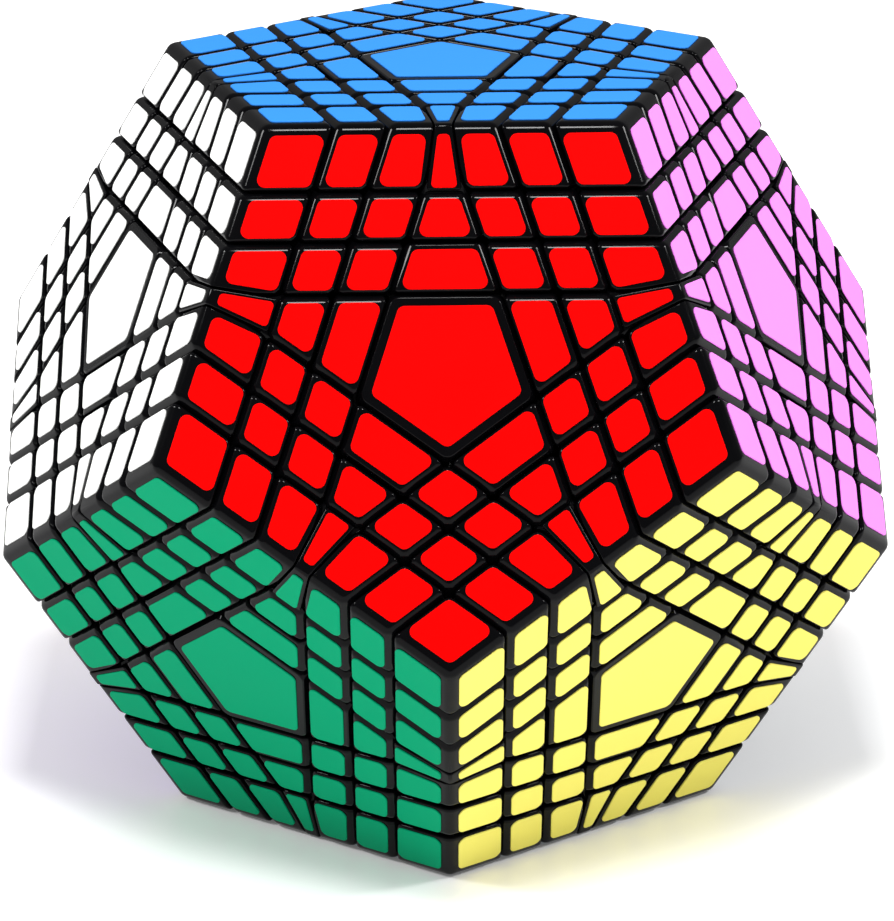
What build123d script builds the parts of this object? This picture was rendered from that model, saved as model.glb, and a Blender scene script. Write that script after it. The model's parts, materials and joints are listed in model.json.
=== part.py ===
from build123d import *

# Seven-layer dodecahedron twisty puzzle, in millimetres.
#
# The puzzle is a regular dodecahedron standing on one face. Each of its twelve faces has three slip
# surfaces below it. A slip surface is a surface of revolution about its face's axis: a flat ring
# where it meets the skin, then a short cylinder, and then a cone down to the core. Layer 1 is above
# the first slip surface, layer 2 between the first and second, layer 3 between the second and third,
# and level 0 is below all three. A piece is known by its level at each of the twelve faces.
#
# The origin is the middle of the face that the puzzle stands on, and +Z is the axis of that face and
# of the top face. The front upper face looks towards -Y.

import os
from math import acos, atan, cos, radians, sin, sqrt, tan

# --- Driving dimensions ------------------------------------------------------------------------
FACE_TO_FACE = 113.6         # between two opposite plastic faces
OUTER_LAYER = 0.0775 * FACE_TO_FACE    # thickness of layers 1, 2 and 3, along a face's axis
MIDDLE_LAYER = 0.0572 * FACE_TO_FACE
INNER_LAYER = 0.059 * FACE_TO_FACE
EDGE_KEPT = 0.0225 * FACE_TO_FACE      # length of each outside edge that its slim middle piece has
GAP = 0.3                    # running gap between neighbouring pieces

CORNER_LIP = 0.28            # plastic over cylinder 1, as a share of the room that a corner has
LIP = 0.0132 * FACE_TO_FACE  # plastic over cylinders 2 and 3, at the groove
CONES = (42.5, 48.5, 54.5)   # half angle of the cone of each slip surface, in degrees
FLAT_STEP = 8.0              # a foot's round wall is made of flats this many degrees apart

CORE_RADIUS = 21.5
BOSS_RADIUS = 3.0            # bosses of the core, which the stems turn on
BOSS_HEIGHT = 4.0
FOOT_CLEARANCE = 0.5         # from the feet to the core ball

SCREW_RADIUS = 1.5
SCREW_FIT = 0.05             # radial running fit of a stem on its screw
SCREW_BITE = 9.0             # length of screw inside its boss and the core
THREAD_GAP = 0.02            # drawn between the screw and the thread that it cuts
SCREW_HEAD_RADIUS = 2.7
SCREW_HEAD_HEIGHT = 1.8
SLOT_WIDTH = 0.7             # driver slot across the head
SLOT_DEPTH = 0.9
WASHER_RADIUS = 2.9
WASHER_THICKNESS = 0.6
SPRING_RADIUS = 2.3          # to the middle of the wire
SPRING_WIRE = 0.6            # wire diameter
SPRING_TURNS = 7
SPRING_HEIGHT = 3.8          # compressed, over the wire
SPRING_SEAT_GAP = 0.1        # drawn between the spring and what it presses on

STEM_END_GAP = 0.2           # from the stem to the boss
STEM_FLOOR = 3.0
STEM_WELL_RADIUS = 3.3       # well for the spring and the screw head
CAP_THICKNESS = 4.4          # centre cap, from its face to the top of the stem
CAP_PLUG_LENGTH = 3.0
CAP_PLUG_FIT = 0.05

STICKER_THICKNESS = 0.2
STICKER_CORNER = 1.1
STICKER_INSET = 0.75         # from a piece's side to its sticker
STICKER_EDGE_INSET = 1.5     # from an outside edge of the puzzle to the sticker
CENTRE_STICKER_INSET = 1.3
SLIM_STICKER_INSET = 0.5     # from the sides of a slim middle piece to its sticker
SLIM_STICKER_CORNER = 0.6

# --- Shape of the dodecahedron and of its slip surfaces -----------------------------------------
HALF = FACE_TO_FACE / 2
STAND = HALF + STICKER_THICKNESS       # height of the middle of the core above the table
TILT = acos(1 / sqrt(5))               # angle between neighbouring face axes, in radians
CUT_1 = HALF - OUTER_LAYER
CUT_2 = CUT_1 - MIDDLE_LAYER
CUT_3 = CUT_2 - INNER_LAYER
CUTS = (CUT_1, CUT_2, CUT_3)
SIDE_GAP = GAP / 2
BLOCK = 4 * HALF                       # block that every piece is cut from
NEAR = cos(radians(70))                # faces further than this from a piece never touch it


def face_axis(polar, azimuth):
    """Unit vector at a polar angle in radians from +Z and an azimuth in degrees from +X."""
    flat = sin(polar)
    return Vector(flat * cos(radians(azimuth)), flat * sin(radians(azimuth)), cos(polar))


def face_axes(azimuth):
    """Axes of the top face, the five below it from this azimuth, and their opposites."""
    upper = [Vector(0, 0, 1)] + [face_axis(TILT, azimuth + 72 * k) for k in range(5)]
    return upper + [axis * -1 for axis in upper]


# A piece is cut with its own face up. Its next face leans towards +X, and its left face is the
# one after that, anticlockwise. Levels left out are 0.
AXES = face_axes(0)
OWN, NEXT, LEFT = 0, 1, 2
LEVELS = {
    "corner": {OWN: 1, NEXT: 1, LEFT: 1},
    "corner_wing": {OWN: 1, NEXT: 1, LEFT: 2},
    "mid_wing": {OWN: 1, NEXT: 1, LEFT: 3},
    "mid_edge": {OWN: 1, NEXT: 1},
    "corner_diamond": {OWN: 1, NEXT: 2, LEFT: 2},
    "centre_diamond": {OWN: 1, NEXT: 3, LEFT: 3},
    "left_slant": {OWN: 1, NEXT: 2, LEFT: 3},
    "right_slant": {OWN: 1, NEXT: 3, LEFT: 2},
    "edge_wedge": {OWN: 1, NEXT: 2},
    "centre_wedge": {OWN: 1, NEXT: 3},
    "centre": {OWN: 1},
}

# --- Vectors and half spaces -------------------------------------------------------------------


def meeting_point(heights):
    """Point at these heights along the axes of up to three faces, found by stepping to each in turn."""
    point = Vector(0, 0, HALF)
    for _ in range(200):
        for face, height in heights.items():
            point = point + AXES[face] * (height - point.dot(AXES[face]))
    return point


def piece_middle(levels):
    """Point on a piece's skin, halfway through the layers that it lies in."""
    tops = (HALF,) + CUTS
    return meeting_point({face: HALF if level == 1 else (tops[level - 1] + tops[level]) / 2
                          for face, level in levels.items()})


def away(axis, point):
    """Unit vector square to an axis, from the axis towards a point."""
    return (point - axis * point.dot(axis)).normalized()


def swing(vector, axis, angle):
    """A vector square to an axis, swung about it by an angle in degrees."""
    return vector * cos(radians(angle)) + axis.cross(vector) * sin(radians(angle))


def below(direction, height):
    """Half space up to a height along a direction, as (unit vector, height)."""
    return direction, height


def above(direction, height):
    return direction * -1, -height


def carve(half_spaces):
    """The convex solid that lies in every half space."""
    solid = Solid.make_box(BLOCK, BLOCK, BLOCK, Plane((-BLOCK / 2, -BLOCK / 2, -BLOCK / 2)))
    for direction, height in half_spaces:
        plane = Plane(origin=direction * height, z_dir=direction)
        solid = solid.split(plane, keep=Keep.BOTTOM)
    return solid


def radius_about(axis, point):
    """Distance from an axis to a point."""
    return (point - axis * point.dot(axis)).length


def walls():
    """Radii of the three cylinders. The first one has to pass outside the inner tip of a corner."""
    grooves_at = [(HALF - cos(TILT) * cut) / sin(TILT) for cut in CUTS]
    tip = meeting_point({OWN: CUT_1, NEXT: CUT_1, LEFT: CUT_1})
    room = grooves_at[0] - radius_about(AXES[OWN], tip)
    return grooves_at[0] - CORNER_LIP * room, grooves_at[1] - LIP, grooves_at[2] - LIP


def rising_ring():
    """Where slip surface 3 starts to rise, and its slope: it has to leave room for the slim piece."""
    edge = AXES[OWN].cross(AXES[NEXT]).normalized()
    middle = (AXES[OWN] + AXES[NEXT]).normalized() * (HALF / cos(TILT / 2))
    end = middle + edge * (EDGE_KEPT / 2)
    start = meeting_point({OWN: HALF, NEXT: CUT_1, LEFT: CUT_3})
    start_radius = radius_about(AXES[LEFT], start)
    return start_radius, (end.dot(AXES[LEFT]) - CUT_3) / (radius_about(AXES[LEFT], end) - start_radius)


WALLS = walls()
RISE_START, RISE = rising_ring()


def risen(axis, out):
    """Direction and height of slip surface 3 beyond the start of its rise."""
    direction = (axis - out * RISE).normalized()
    return direction, direction.dot(axis * CUT_3 + out * RISE_START)


def cone_side(axis, out, half_angle):
    """Direction square to a cone's side and pointing out of the cone."""
    return out * cos(half_angle) - axis * sin(half_angle)


# --- What bounds a piece -----------------------------------------------------------------------


def nearby_faces(levels):
    """For each face near a piece: its axis, the piece's level, and the way out to the piece."""
    middle = piece_middle(levels)
    for face, axis in enumerate(AXES):
        on_axis = radius_about(axis, middle) < GAP
        if middle.dot(axis) > NEAR * middle.length and not on_axis:
            yield axis, levels.get(face, 0), away(axis, middle)


def skin(levels):
    return [below(AXES[face], HALF) for face, level in levels.items() if level == 1]


def slip_outside(level):
    """Number of the slip surface that shuts off a level on the skin's side, for any level but 1."""
    return 2 if level == 0 else level - 2


def grooves(levels):
    """Flat sides of a piece where it shows, at mid groove."""
    sides = []
    at_outside_edge = list(levels.values()).count(1) > 1
    for axis, level, out in nearby_faces(levels):
        ring_3 = risen(axis, out) if at_outside_edge else (axis, CUT_3)
        rings = ((axis, CUT_1), (axis, CUT_2), ring_3)
        if level != 1:
            sides.append(below(*rings[slip_outside(level)]))
        if level != 0:
            sides.append(above(*rings[level - 1]))
    return sides


def plate(levels):
    """The outer part of a piece: what shows, down to the feet of its neighbours."""
    sides = [(direction, height - SIDE_GAP) for direction, height in grooves(levels)]
    for axis, level, out in nearby_faces(levels):
        if level != 1:
            sides.append(above(out, WALLS[slip_outside(level)] + SIDE_GAP))
        if level == 3:
            sides.append(above(axis, CUT_3 + SIDE_GAP))
    sides.append(above(AXES[OWN], CUT_1 + SIDE_GAP))
    return carve(skin(levels) + sides)


def foot(levels):
    """The inner part of a piece: it reaches towards the core, under the neighbours' plates."""
    middle = piece_middle(levels)
    sides = [above(middle.normalized(), CORE_RADIUS + FOOT_CLEARANCE)]
    for axis, level, out in nearby_faces(levels):
        if level != 1:
            outside = slip_outside(level)
            sides.append(below(axis, CUTS[outside] - SIDE_GAP))
            sides.append(above(cone_side(axis, out, radians(CONES[outside])), SIDE_GAP))
        if level:
            shrink = cos(radians(FLAT_STEP / 2))
            flat_angle = atan(tan(radians(CONES[level - 1])) * shrink)
            for step in (-2, -1, 0, 1, 2):
                flat = swing(out, axis, step * FLAT_STEP)
                sides.append(below(flat, (WALLS[level - 1] - SIDE_GAP) * shrink))
                sides.append(below(cone_side(axis, flat, flat_angle), -SIDE_GAP))
    return carve(skin(levels) + sides)


def sticker(levels, face, inset, corner):
    """The sticker on one of a piece's faces: the face's outline, set in and rounded."""
    axis = AXES[face]
    sides = [below(axis, HALF + STICKER_THICKNESS), above(axis, HALF)]
    outline = [(side, inset + SIDE_GAP) for side in grooves(levels)]
    outline += [(side, STICKER_EDGE_INSET) for side in skin(levels)]
    for (direction, height), set_in in outline:
        across = direction - axis * direction.dot(axis)
        if across.length > 0.01:
            reach = (height - HALF * direction.dot(axis)) / across.length
            sides.append(below(across.normalized(), reach - set_in))
    solid = carve(sides)
    corners = [edge for edge in solid.edges() if abs(edge.tangent_at(0.5).dot(axis)) > 0.99]
    return solid.fillet(corner, corners)


def stickers(name):
    """The stickers of one kind of piece."""
    levels = LEVELS[name]
    inset = {"mid_edge": SLIM_STICKER_INSET, "centre": CENTRE_STICKER_INSET}.get(name, STICKER_INSET)
    corner = SLIM_STICKER_CORNER if name == "mid_edge" else STICKER_CORNER
    return [sticker(levels, face, inset, corner) for face, level in levels.items() if level == 1]


# --- The middle of a face: core, screw, spring, washer, stem and cap -----------------------------
BOSS_END = CORE_RADIUS + BOSS_HEIGHT
STEM_END = BOSS_END + STEM_END_GAP
SPRING_SEAT = STEM_END + STEM_FLOOR
SPRING_BASE = SPRING_SEAT + SPRING_SEAT_GAP
WASHER_BASE = SPRING_BASE + SPRING_HEIGHT + SPRING_SEAT_GAP
HEAD_BASE = WASHER_BASE + WASHER_THICKNESS
CAP_SEAT = HALF - CAP_THICKNESS


def rod(radius, bottom, top):
    """A round rod on the axis of the face that is up."""
    return Solid.make_cylinder(radius, top - bottom, Plane((0, 0, bottom)))


def core(turns):
    """The ball with its twelve bosses, each bored for its screw."""
    solid = Solid.make_sphere(CORE_RADIUS, angle1=-90, angle2=90)
    bosses = [rod(BOSS_RADIUS, 0, BOSS_END).moved(turn) for turn in turns]
    bores = [rod(SCREW_RADIUS + THREAD_GAP, BOSS_END - SCREW_BITE - THREAD_GAP, BOSS_END + GAP).moved(turn)
             for turn in turns]
    return solid.fuse(*bosses).cut(*bores).solid()


def screw():
    """A shank with a slotted cheese head."""
    head = rod(SCREW_HEAD_RADIUS, HEAD_BASE, HEAD_BASE + SCREW_HEAD_HEIGHT)
    slot_floor = HEAD_BASE + SCREW_HEAD_HEIGHT - SLOT_DEPTH
    slot = Solid.make_box(4 * SCREW_HEAD_RADIUS, SLOT_WIDTH, 2 * SLOT_DEPTH,
                          Plane((-2 * SCREW_HEAD_RADIUS, -SLOT_WIDTH / 2, slot_floor)))
    shank = rod(SCREW_RADIUS, BOSS_END - SCREW_BITE, HEAD_BASE)
    return shank.fuse(head).cut(slot).solid()


def washer():
    ring = rod(WASHER_RADIUS, WASHER_BASE, HEAD_BASE)
    return ring.cut(rod(SCREW_RADIUS + SCREW_FIT, WASHER_BASE - GAP, HEAD_BASE + GAP)).solid()


def spring():
    """A compression spring round the screw, pressed until its turns close up."""
    pitch = (SPRING_HEIGHT - SPRING_WIRE) / (SPRING_TURNS - 1)
    heights = [SPRING_BASE + SPRING_WIRE / 2 + k * pitch for k in range(SPRING_TURNS)]
    turns = [Solid.make_torus(SPRING_RADIUS, SPRING_WIRE / 2, Plane((0, 0, height))) for height in heights]
    return turns[0].fuse(*turns[1:]).solid()


def centre():
    """The whole middle piece of a face, before it is parted into stem and cap."""
    return plate(LEVELS["centre"]).fuse(foot(LEVELS["centre"])).solid()


def stem():
    """Turns on the screw. The spring presses on the floor of its well."""
    post = centre().split(Plane((0, 0, CAP_SEAT)), keep=Keep.BOTTOM)
    post = post.split(Plane((0, 0, STEM_END)), keep=Keep.TOP)
    well = rod(STEM_WELL_RADIUS, SPRING_SEAT, CAP_SEAT + GAP)
    hole = rod(SCREW_RADIUS + SCREW_FIT, STEM_END - GAP, SPRING_SEAT + GAP)
    return post.cut(well, hole).solid()


def cap():
    """Closes the stem: its plug clips into the well."""
    top = centre().split(Plane((0, 0, CAP_SEAT)), keep=Keep.TOP)
    return top.fuse(rod(STEM_WELL_RADIUS - CAP_PLUG_FIT, CAP_SEAT - CAP_PLUG_LENGTH, CAP_SEAT)).solid()


# --- The puzzle put together ---------------------------------------------------------------------
FACES = face_axes(-90)
MIDDLE = Vector(0, 0, STAND)
TURNING = {"top": 0, "front": 10, "rear": 8}
LAYERS = {1: "outer", 2: "middle", 3: "inner"}


def turn_to(face, beside):
    """Plane that brings a local piece to a face, with its next face at the face beside."""
    return Plane(MIDDLE, x_dir=away(face, beside), z_dir=face)


def placings(levels):
    """Every place that a kind of piece has: its location and its level at each face."""
    taken = set()
    for face in FACES:
        for beside in FACES:
            if abs(face.dot(beside) - cos(TILT)) > 0.01:
                continue
            plane = turn_to(face, beside)
            there = {}
            for local, level in levels.items():
                axis = plane.from_local_coords(AXES[local]) - MIDDLE
                there[max(range(12), key=lambda index: FACES[index].dot(axis))] = level
            key = frozenset(there.items())
            if key not in taken:
                taken.add(key)
                yield plane.location, there


def layer_of(there):
    """Name of the turning layer that a piece is in, or fixed."""
    for side, face in TURNING.items():
        if face in there:
            return side + "_" + LAYERS[there[face]]
    return "fixed"


def build():
    """Every node's solids by node name."""
    nodes = {}
    kinds = {name: [plate(levels).fuse(foot(levels)).solid()] for name, levels in LEVELS.items()}
    del kinds["centre"]
    kinds["cap"] = [cap()]
    kinds["stem"] = [stem()]
    for name, shapes in kinds.items():
        levels = LEVELS.get(name, LEVELS["centre"])
        is_tile = sum(level == 1 for level in levels.values()) == 1 and name not in ("cap", "stem")
        for location, there in placings(levels):
            layer = layer_of(there)
            kind = "tile" if is_tile and layer != "fixed" else name
            node = nodes.setdefault(layer + "_" + kind + "s", [])
            node += [shape.moved(location) for shape in shapes]
    for name, levels in LEVELS.items():
        shapes = stickers(name)
        for location, there in placings(levels):
            node = nodes.setdefault(layer_of(there) + "_stickers", [])
            node += [shape.moved(location) for shape in shapes]
    turns = [location for location, _ in placings(LEVELS["centre"])]
    upright = Location(MIDDLE)
    nodes["core"] = [core([upright.inverse() * turn for turn in turns]).moved(upright)]
    for name, shape in (("screws", screw()), ("springs", spring()), ("washers", washer())):
        nodes[name] = [shape.moved(turn) for turn in turns]
    return nodes


os.makedirs("parts", exist_ok=True)
for node_name, solids in build().items():
    export_step(Compound(solids), "parts/" + node_name + ".step", write_pcurves=False)
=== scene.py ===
import json
from math import acos, cos, radians, sin, sqrt

import bmesh
import bpy
from mathutils import Matrix, Vector


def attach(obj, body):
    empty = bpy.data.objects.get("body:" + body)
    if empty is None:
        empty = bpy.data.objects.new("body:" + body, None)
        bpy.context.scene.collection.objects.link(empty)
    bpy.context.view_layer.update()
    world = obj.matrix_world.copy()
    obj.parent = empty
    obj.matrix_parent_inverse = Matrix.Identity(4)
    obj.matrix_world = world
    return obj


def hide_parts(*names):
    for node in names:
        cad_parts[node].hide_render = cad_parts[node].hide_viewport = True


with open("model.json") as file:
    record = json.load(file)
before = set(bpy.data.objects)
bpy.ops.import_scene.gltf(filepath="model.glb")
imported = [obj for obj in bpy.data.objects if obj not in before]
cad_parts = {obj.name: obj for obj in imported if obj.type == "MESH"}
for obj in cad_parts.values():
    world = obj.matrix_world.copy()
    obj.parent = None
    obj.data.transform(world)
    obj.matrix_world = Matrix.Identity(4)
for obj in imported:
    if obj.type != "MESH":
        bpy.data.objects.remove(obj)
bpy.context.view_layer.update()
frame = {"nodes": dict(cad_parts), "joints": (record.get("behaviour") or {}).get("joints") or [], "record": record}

# --- Core -------------------------------------------------------------------------------------------
# The hidden ball with its twelve bosses is moulded in dark grey nylon, which takes the screws' threads
# well and runs smoothly against the stems. It comes out of the mould with a fine spark-eroded texture.
NYLON_DARK = "#2b2c2f"
NYLON_LIGHT = "#3a3b3f"
NYLON_TEXTURE = 0.4                     # mm across one grain of the mould's texture
NYLON_CLOUD = 7.0                       # mm across one patch of uneven colour


def linear(hex_colour):
    """sRGB hex colour as linear RGBA."""
    parts = [int(hex_colour[i:i + 2], 16) / 255 for i in (1, 3, 5)]
    return [p / 12.92 if p <= 0.04045 else ((p + 0.055) / 1.055) ** 2.4 for p in parts] + [1]


def per_metre(size):
    """Pattern scale that gives features of this size in millimetres."""
    return 1000 / size


def node(tree, kind, settings=None, **links):
    """Adds a node with its settings, and links its named inputs to other nodes' outputs."""
    made = tree.nodes.new(kind)
    for key, value in (settings or {}).items():
        if key in made.inputs:
            made.inputs[key].default_value = value
        else:
            setattr(made, key, value)
    for key, output in links.items():
        tree.links.new(output, made.inputs[key.replace("_", " ")])
    return made


def new_material(name):
    """An empty node material, and its node tree."""
    material = bpy.data.materials.new(name)
    material.use_nodes = True
    material.node_tree.nodes.clear()
    return material, material.node_tree


def moulded_nylon():
    """Spark-textured nylon: satin dark grey with a fine even grain and slightly cloudy colour."""
    material, tree = new_material("moulded_nylon")
    place = node(tree, "ShaderNodeTexCoord")
    cloud = node(tree, "ShaderNodeTexNoise", {"Scale": per_metre(NYLON_CLOUD), "Detail": 3.0},
                 Vector=place.outputs["Object"])
    grain = node(tree, "ShaderNodeTexNoise", {"Scale": per_metre(NYLON_TEXTURE), "Detail": 2.0},
                 Vector=place.outputs["Object"])
    colour = node(tree, "ShaderNodeValToRGB", Fac=cloud.outputs["Fac"])
    colour.color_ramp.elements[0].color = linear(NYLON_DARK)
    colour.color_ramp.elements[1].color = linear(NYLON_LIGHT)
    bump = node(tree, "ShaderNodeBump", {"Strength": 0.25, "Distance": 0.0001}, Height=grain.outputs["Fac"])
    shader = node(tree, "ShaderNodeBsdfPrincipled", {"Roughness": 0.45, "IOR": 1.53},
                  Base_Color=colour.outputs["Color"], Normal=bump.outputs["Normal"])
    node(tree, "ShaderNodeOutputMaterial", Surface=shader.outputs["BSDF"])
    return material


def dress(cad_node, material):
    """Gives a CAD node that stays as it is its finished material."""
    for place in frame["nodes"][cad_node].material_slots:
        place.material = material


dress("core", moulded_nylon())

# --- Screws, springs and washers ---------------------------------------------------------------------
# Each face's stem is held down by a slotted cheese-head screw with a coil spring and a washer under its
# head. All three are bright zinc-plated steel, turned, drawn and punched.
ZINC_BRIGHT = "#c9ccd0"
ZINC_DULL = "#9fa4aa"
ZINC_SPANGLE = 1.2                      # mm across one patch of the plating
TURNING_LINES = 0.15                    # mm between two tool marks


def zinc_steel():
    """Bright zinc plate: cool grey metal, mottled by the plating, with fine tool marks under it."""
    material, tree = new_material("zinc_plated_steel")
    place = node(tree, "ShaderNodeTexCoord")
    spangle = node(tree, "ShaderNodeTexNoise", {"Scale": per_metre(ZINC_SPANGLE), "Detail": 4.0},
                   Vector=place.outputs["Object"])
    colour = node(tree, "ShaderNodeValToRGB", Fac=spangle.outputs["Fac"])
    colour.color_ramp.elements[0].color = linear(ZINC_DULL)
    colour.color_ramp.elements[1].color = linear(ZINC_BRIGHT)
    rough = node(tree, "ShaderNodeMapRange", {"To Min": 0.22, "To Max": 0.38}, Value=spangle.outputs["Fac"])
    marks = node(tree, "ShaderNodeTexNoise", {"Scale": per_metre(TURNING_LINES), "Detail": 1.0},
                 Vector=place.outputs["Object"])
    bump = node(tree, "ShaderNodeBump", {"Strength": 0.1, "Distance": 0.00005}, Height=marks.outputs["Fac"])
    shader = node(tree, "ShaderNodeBsdfPrincipled", {"Metallic": 1.0}, Base_Color=colour.outputs["Color"],
                  Roughness=rough.outputs["Result"], Normal=bump.outputs["Normal"])
    node(tree, "ShaderNodeOutputMaterial", Surface=shader.outputs["BSDF"])
    return material


ZINC_STEEL = zinc_steel()
for hardware in ("screws", "springs", "washers"):
    dress(hardware, ZINC_STEEL)

# --- Stems and caps, corners, wings, slim pieces and tiles --------------------------------------------
# Every piece is a separate injection moulding in black ABS from a polished mould. The mould rounds each
# piece's upright corners by about a millimetre and its rims by a fifth of one, which is where the
# hairline reflections along the grooves come from. The stems are the same plastic, all under the caps.
CORE = Vector(frame["joints"][0]["pos_m"])
STICKER_THICKNESS = 0.0002
HALF = CORE.z - STICKER_THICKNESS       # from the middle to the plastic of a face
TILT = acos(1 / sqrt(5))                # between neighbouring faces' axes
FRONT_AZIMUTH = -90
UPRIGHT_RADIUS = 0.0010
SLIM_UPRIGHT_RADIUS = 0.00045
UPRIGHT_DEPTH = 0.0014                  # how far down from the skin the upright corners are rounded
STUB = 0.0006                           # sides shorter than this run into the corner next to them
CORNER_ANGLE = radians(40)              # upright edges flatter than this stay as they are
UPRIGHT_STEPS = 4
RIM_RADIUS = 0.00021
RIM_STEPS = 3
RIM_ANGLE = radians(30)
SHARP = radians(38)                     # edges above this stay crisp in the shading
JOINED = radians(0.5)                   # triangles flatter than this are one face
TOUCH = 0.00001
SAME_POINT = TOUCH / 10
FLAT_ON = 0.999                         # cosine above which a surface lies on a face of the puzzle
ABS_BLACK = "#020203"
ABS_HANDLED = "#08080a"
ABS_RIPPLE = 6.0                        # mm between the faint waves of the moulded skin
ABS_SMEAR = 14.0                        # mm across one patch that fingers have dulled


def abs_gloss():
    """Polished black ABS: deep black, a clear narrow highlight, and a faintly wavy, handled skin."""
    material, tree = new_material("polished_black_abs")
    place = node(tree, "ShaderNodeTexCoord")
    ripple = node(tree, "ShaderNodeTexNoise", {"Scale": per_metre(ABS_RIPPLE), "Detail": 2.0},
                  Vector=place.outputs["Object"])
    smear = node(tree, "ShaderNodeTexNoise", {"Scale": per_metre(ABS_SMEAR), "Detail": 4.0},
                 Vector=place.outputs["Object"])
    tint = node(tree, "ShaderNodeValToRGB", Fac=smear.outputs["Fac"])
    tint.color_ramp.elements[0].color = linear(ABS_BLACK)
    tint.color_ramp.elements[1].color = linear(ABS_HANDLED)
    rough = node(tree, "ShaderNodeMapRange",
                 {"From Min": 0.3, "From Max": 0.7, "To Min": 0.08, "To Max": 0.13},
                 Value=smear.outputs["Fac"])
    bump = node(tree, "ShaderNodeBump", {"Strength": 0.06, "Distance": 0.0002}, Height=ripple.outputs["Fac"])
    shader = node(tree, "ShaderNodeBsdfPrincipled", {"IOR": 1.53, "Specular IOR Level": 0.07},
                  Base_Color=tint.outputs["Color"], Roughness=rough.outputs["Result"],
                  Normal=bump.outputs["Normal"])
    node(tree, "ShaderNodeOutputMaterial", Surface=shader.outputs["BSDF"])
    return material


def face_axes():
    """Axes of the top face, the five below it, and their opposites."""
    upper = [Vector((0, 0, 1))]
    for k in range(5):
        azimuth = radians(FRONT_AZIMUTH + 72 * k)
        upper.append(Vector((sin(TILT) * cos(azimuth), sin(TILT) * sin(azimuth), cos(TILT))))
    return upper + [-axis for axis in upper]


AXES = face_axes()


def skin_height(point):
    """How far out a point is, as the largest distance along any face's axis."""
    return max((point - CORE).dot(axis) for axis in AXES)


def copy_mesh(cad_node):
    """A node's closed surface with its triangles joined back into flat faces."""
    made = bmesh.new()
    made.from_mesh(frame["nodes"][cad_node].data)
    bmesh.ops.remove_doubles(made, verts=made.verts, dist=SAME_POINT)
    bmesh.ops.dissolve_limit(made, angle_limit=JOINED, verts=made.verts, edges=made.edges)
    return made


def bevel(made, edges, radius, segments):
    """Rounds edges of a piece."""
    bmesh.ops.bevel(made, geom=edges, offset=radius, offset_type="OFFSET", segments=segments, profile=0.5,
                    affect="EDGES", clamp_overlap=False)


def mark_depth(made):
    """Scores the sides at the depth where the rounding stops, and closes up the stubs above it."""
    for axis in AXES:
        parts = made.verts[:] + made.edges[:] + made.faces[:]
        bmesh.ops.bisect_plane(made, geom=parts, dist=SAME_POINT, plane_no=axis,
                               plane_co=CORE + axis * (HALF - UPRIGHT_DEPTH))
    stubs = [e for e in made.edges if e.calc_length() < STUB
             and all(skin_height(v.co) > HALF - UPRIGHT_DEPTH - TOUCH for v in e.verts)]
    bmesh.ops.collapse(made, edges=stubs)


def round_uprights(made, radius):
    """Rounds the edges that run down from the skin, and the outside edges of the dodecahedron."""
    edges = []
    for edge in made.edges:
        heights = sorted(skin_height(v.co) for v in edge.verts)
        upright = heights[1] > HALF - TOUCH > heights[0] > HALF - UPRIGHT_DEPTH - TOUCH
        ridge = heights[0] > HALF - TOUCH and all(
            max(f.normal.dot(axis) for axis in AXES) > FLAT_ON for f in edge.link_faces)
        if (upright or ridge) and edge.calc_face_angle() > CORNER_ANGLE:
            edges.append(edge)
    bevel(made, edges, radius, UPRIGHT_STEPS)


def round_rims(made, radius):
    """Rounds the sharp edge between a piece's skin and its sides."""
    edges = []
    for edge in made.edges:
        at_skin = all(skin_height(v.co) > HALF - radius for v in edge.verts)
        if at_skin and len(edge.link_faces) == 2 and edge.calc_face_angle() > RIM_ANGLE:
            edges.append(edge)
    bevel(made, edges, radius, RIM_STEPS)


def finish_piece(name, made, material, cad_node):
    """Turns a mesh into a shaded piece that stands for a CAD node and rides on its body."""
    mesh = bpy.data.meshes.new(name)
    made.to_mesh(mesh)
    made.free()
    mesh.materials.append(material)
    mesh.shade_smooth()
    mesh.set_sharp_from_angle(angle=SHARP)
    piece = bpy.data.objects.new(name, mesh)
    bpy.context.scene.collection.objects.link(piece)
    even = piece.modifiers.new("even_shading", "WEIGHTED_NORMAL")
    even.keep_sharp = True
    bodies = frame["record"]["behaviour"]["bodies"]
    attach(piece, next(body for body, nodes in bodies.items() if cad_node in nodes))
    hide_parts(cad_node)


POLISHED_ABS = abs_gloss()
for cad_node in list(frame["nodes"]):
    if cad_node.endswith("_stems"):
        dress(cad_node, POLISHED_ABS)
    elif "_" in cad_node and not cad_node.endswith("_stickers"):
        shape = copy_mesh(cad_node)
        mark_depth(shape)
        round_uprights(shape, SLIM_UPRIGHT_RADIUS if cad_node.endswith("mid_edges") else UPRIGHT_RADIUS)
        round_rims(shape, RIM_RADIUS)
        finish_piece(cad_node + "_moulding", shape, POLISHED_ABS, cad_node)

# --- Stickers ----------------------------------------------------------------------------------------
# Each piece shows one die-cut sticker for each face that it is in, of self-adhesive PVC film with a
# satin face. The film is printed right through, and the die leaves its edge slightly rolled over.
FACE_COLOURS = (
    ("blue", "#3588e4"), ("red", "#f40000"), ("pink", "#f78af7"), ("lime", "#7fd62c"),
    ("cream", "#e9dfa0"), ("white", "#f4f4f2"), ("sky", "#8fd3f5"), ("orange", "#f57a1c"),
    ("purple", "#6b2fa8"), ("green", "#009568"), ("yellow", "#f2e872"), ("grey", "#8f959c"),
)
STICKER_ROLL = 0.00008
ROLL_STEPS = 2
ROLL_ANGLE = radians(60)
FILM_GRAIN = 1.5                        # mm across one dimple of the film, drawn coarse so that it shows
FILM_SHADE = 9.0                        # mm across one patch of slightly uneven satin


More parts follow.
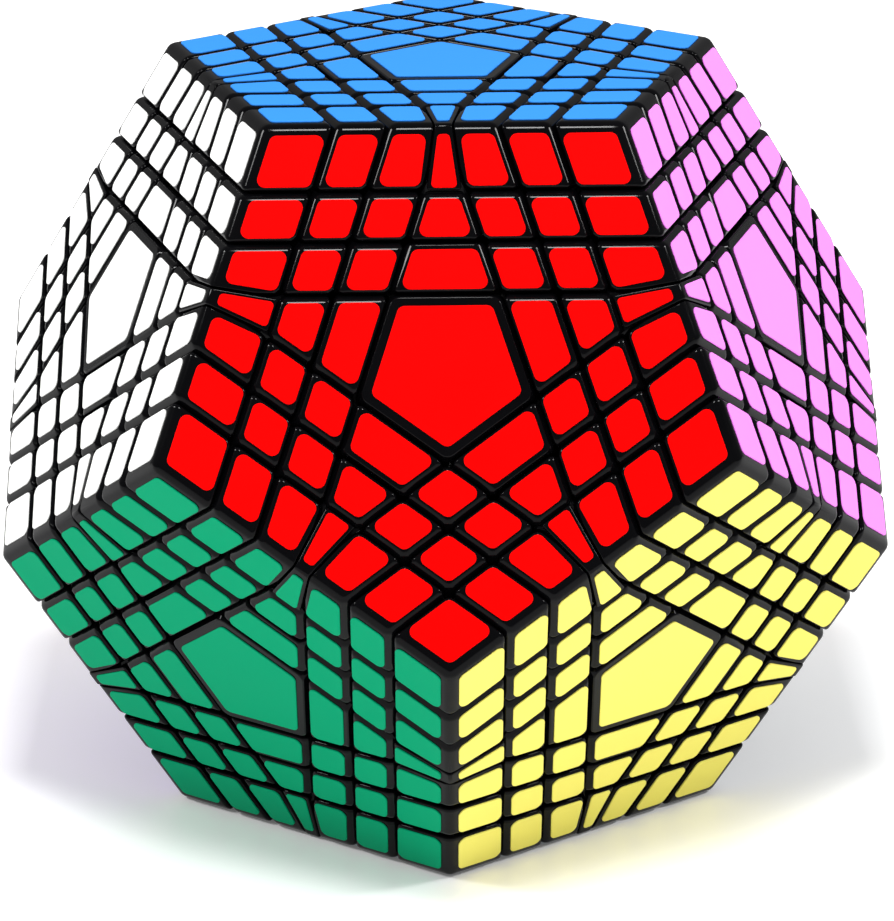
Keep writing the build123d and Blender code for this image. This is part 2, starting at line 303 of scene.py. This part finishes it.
def satin_film(colour_name, hex_colour):
    """Satin PVC film: flat strong colour with a soft wide sheen and a hint of orange peel."""
    material, tree = new_material("satin_film_" + colour_name)
    place = node(tree, "ShaderNodeTexCoord")
    grain = node(tree, "ShaderNodeTexNoise", {"Scale": per_metre(FILM_GRAIN), "Detail": 2.0},
                 Vector=place.outputs["Object"])
    shade = node(tree, "ShaderNodeTexNoise", {"Scale": per_metre(FILM_SHADE), "Detail": 2.0},
                 Vector=place.outputs["Object"])
    rough = node(tree, "ShaderNodeMapRange", {"To Min": 0.45, "To Max": 0.6}, Value=shade.outputs["Fac"])
    bump = node(tree, "ShaderNodeBump", {"Strength": 0.05, "Distance": 0.0001}, Height=grain.outputs["Fac"])
    shader = node(tree, "ShaderNodeBsdfPrincipled",
                  {"Base Color": linear(hex_colour), "IOR": 1.5, "Specular IOR Level": 0.03},
                  Roughness=rough.outputs["Result"], Normal=bump.outputs["Normal"])
    node(tree, "ShaderNodeOutputMaterial", Surface=shader.outputs["BSDF"])
    return material


FILMS = [satin_film(*colour) for colour in FACE_COLOURS]
for cad_node in [name for name in frame["nodes"] if name.endswith("_stickers")]:
    for index, axis in enumerate(AXES):
        shape = copy_mesh(cad_node)
        elsewhere = [v for v in shape.verts if (v.co - CORE).dot(axis) < HALF - TOUCH]
        bmesh.ops.delete(shape, geom=elsewhere, context="VERTS")
        if shape.faces:
            rims = [e for e in shape.edges if len(e.link_faces) == 2 and e.calc_face_angle() > ROLL_ANGLE
                    and all((v.co - CORE).dot(axis) > HALF + STICKER_THICKNESS / 2 for v in e.verts)]
            bevel(shape, rims, STICKER_ROLL, ROLL_STEPS)
            finish_piece(cad_node + "_" + FACE_COLOURS[index][0], shape, FILMS[index], cad_node)
        else:
            shape.free()

# --- Table, lamps and camera -------------------------------------------------------------------------
# The puzzle stands on a white lacquered board that fades into the backdrop, under three soft boxes:
# one above and in front, and one at either side. A weak even sky fills the shadows.
# The board's glow is painted light: it emits faintly near the puzzle and more strongly further off, whitening the
# far board.
BOARD_REACH = 3.0
BOARD_WHITE_AND_GLOW = "#f6f6f6"
BOARD_HAZE = 60                         # mm across one patch of slightly duller lacquer


def lacquered_board():
    """White satin lacquer: a blurred reflection near the puzzle, and a painted glow that rises further off to
    plain white.
    """
    material, tree = new_material("white_lacquered_board_painted_glow")
    place = node(tree, "ShaderNodeTexCoord")
    haze = node(tree, "ShaderNodeTexNoise", {"Scale": per_metre(BOARD_HAZE), "Detail": 2.0},
                Vector=place.outputs["Object"])
    rough = node(tree, "ShaderNodeMapRange", {"To Min": 0.3, "To Max": 0.36}, Value=haze.outputs["Fac"])
    reach = node(tree, "ShaderNodeVectorMath", {"operation": "LENGTH"})
    tree.links.new(place.outputs["Object"], reach.inputs[0])
    # Painted glow: the board emits light, weak within a few centimetres of the puzzle and strong from 0.2 m out,
    # so the far board is plain white.
    painted_glow = node(tree, "ShaderNodeMapRange", {"From Min": 0.04, "From Max": 0.2, "To Min": 0.1, "To Max": 0.8},
                Value=reach.outputs["Value"])
    shader = node(tree, "ShaderNodeBsdfPrincipled",
                  {"Base Color": linear(BOARD_WHITE_AND_GLOW), "Emission Color": linear(BOARD_WHITE_AND_GLOW)},
                  Roughness=rough.outputs["Result"], Emission_Strength=painted_glow.outputs["Result"])
    node(tree, "ShaderNodeOutputMaterial", Surface=shader.outputs["BSDF"])
    return material


board_mesh = bpy.data.meshes.new("board")
board_corners = [(-BOARD_REACH, -BOARD_REACH, 0), (BOARD_REACH, -BOARD_REACH, 0),
                 (BOARD_REACH, BOARD_REACH, 0), (-BOARD_REACH, BOARD_REACH, 0)]
board_mesh.from_pydata(board_corners, [], [(0, 1, 2, 3)])
board_mesh.materials.append(lacquered_board())
board = bpy.data.objects.new("board", board_mesh)
bpy.context.scene.collection.objects.link(board)


LAMP_DISTANCE = 0.9
LAMP_SIDE = 0.16
SKY_STRENGTH = 0.3


def soft_box(name, azimuth, elevation, power):
    """A square lamp aimed at the puzzle, placed by its direction from it in degrees."""
    lamp = bpy.data.lights.new(name, "AREA")
    lamp.shape = "SQUARE"
    lamp.size = LAMP_SIDE
    lamp.energy = power
    flat = cos(radians(elevation))
    out = Vector((flat * cos(radians(azimuth)), flat * sin(radians(azimuth)), sin(radians(elevation))))
    holder = bpy.data.objects.new(name, lamp)
    holder.location = CORE + LAMP_DISTANCE * out
    holder.rotation_mode = "QUATERNION"
    holder.rotation_quaternion = (-out).to_track_quat("-Z", "Y")
    bpy.context.scene.collection.objects.link(holder)


soft_box("front_soft_box", -90, 66, 5.6)
soft_box("left_soft_box", 190, 40, 4.1)
soft_box("right_soft_box", -10, 40, 4.1)

world = bpy.data.worlds.new("studio")
world.use_nodes = True
sky = world.node_tree.nodes["Background"].inputs
sky["Color"].default_value = (1, 1, 1, 1)
sky["Strength"].default_value = SKY_STRENGTH
bpy.context.scene.world = world
bpy.context.scene.view_settings.view_transform = "Standard"

CAMERA_SENSOR = 36
CAMERA_LENS = 167.98
YAW, PITCH, ROLL = 0.0096245, -0.3466105, -0.0078295       # in radians
EYE = Vector((-0.09721, -10.97934, 3.84999))     # from the middle of the core, in half heights

ahead = Vector((sin(YAW) * cos(PITCH), cos(YAW) * cos(PITCH), sin(PITCH)))
level_right = ahead.cross(Vector((0, 0, 1))).normalized()
level_up = level_right.cross(ahead)
right = cos(ROLL) * level_right + sin(ROLL) * level_up
up = cos(ROLL) * level_up - sin(ROLL) * level_right
lens = bpy.data.cameras.new("camera")
lens.sensor_width = CAMERA_SENSOR
lens.lens = CAMERA_LENS
lens.clip_start = 0.05
lens.clip_end = 20
camera = bpy.data.objects.new("camera", lens)
camera.location = CORE + EYE * HALF
camera.rotation_mode = "QUATERNION"
camera.rotation_quaternion = Matrix((right, up, -ahead)).transposed().to_quaternion()
bpy.context.scene.collection.objects.link(camera)
bpy.context.scene.camera = camera
